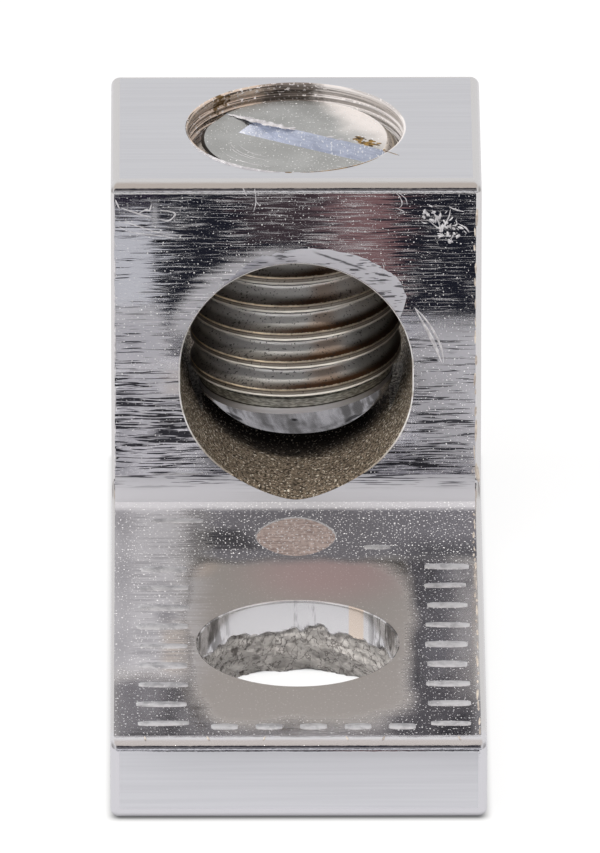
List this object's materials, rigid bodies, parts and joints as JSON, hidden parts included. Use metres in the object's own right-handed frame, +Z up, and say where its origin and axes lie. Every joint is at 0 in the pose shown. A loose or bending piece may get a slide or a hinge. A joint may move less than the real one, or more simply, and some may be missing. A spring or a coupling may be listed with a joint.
{
  "type": "mechanical lug",
  "caption": "Tin-plated one-barrel mechanical lug: a block with a conductor bore and a slotted set screw, and a flat tongue with a punched stud hole.",
  "frame": {"origin": "middle of the base: halfway along the lug's length and width, on its flat underside", "axes": "+Y from the tongue's tip to the barrel's back, where the conductor enters; +Z up out of the base; +X to the right seen from the tongue"},
  "size_m": [0.0126, 0.0296, 0.0145],
  "materials": {
    "tin_plate": "bright tin plate over extrusion lines, scuffed",
    "screw_metal": "satin turned metal with brown tarnish in the thread"
  },
  "bodies": {
    "lug": {"lug_body": "tin_plate"},
    "screw": {"set_screw": "screw_metal"}
  },
  "joints": [
    {"name": "screw_feed", "type": "slide", "parent": "lug", "child": "screw", "axis": [0, 0, 1], "range_m": [-0.0002, 0.00635]}
  ]
}
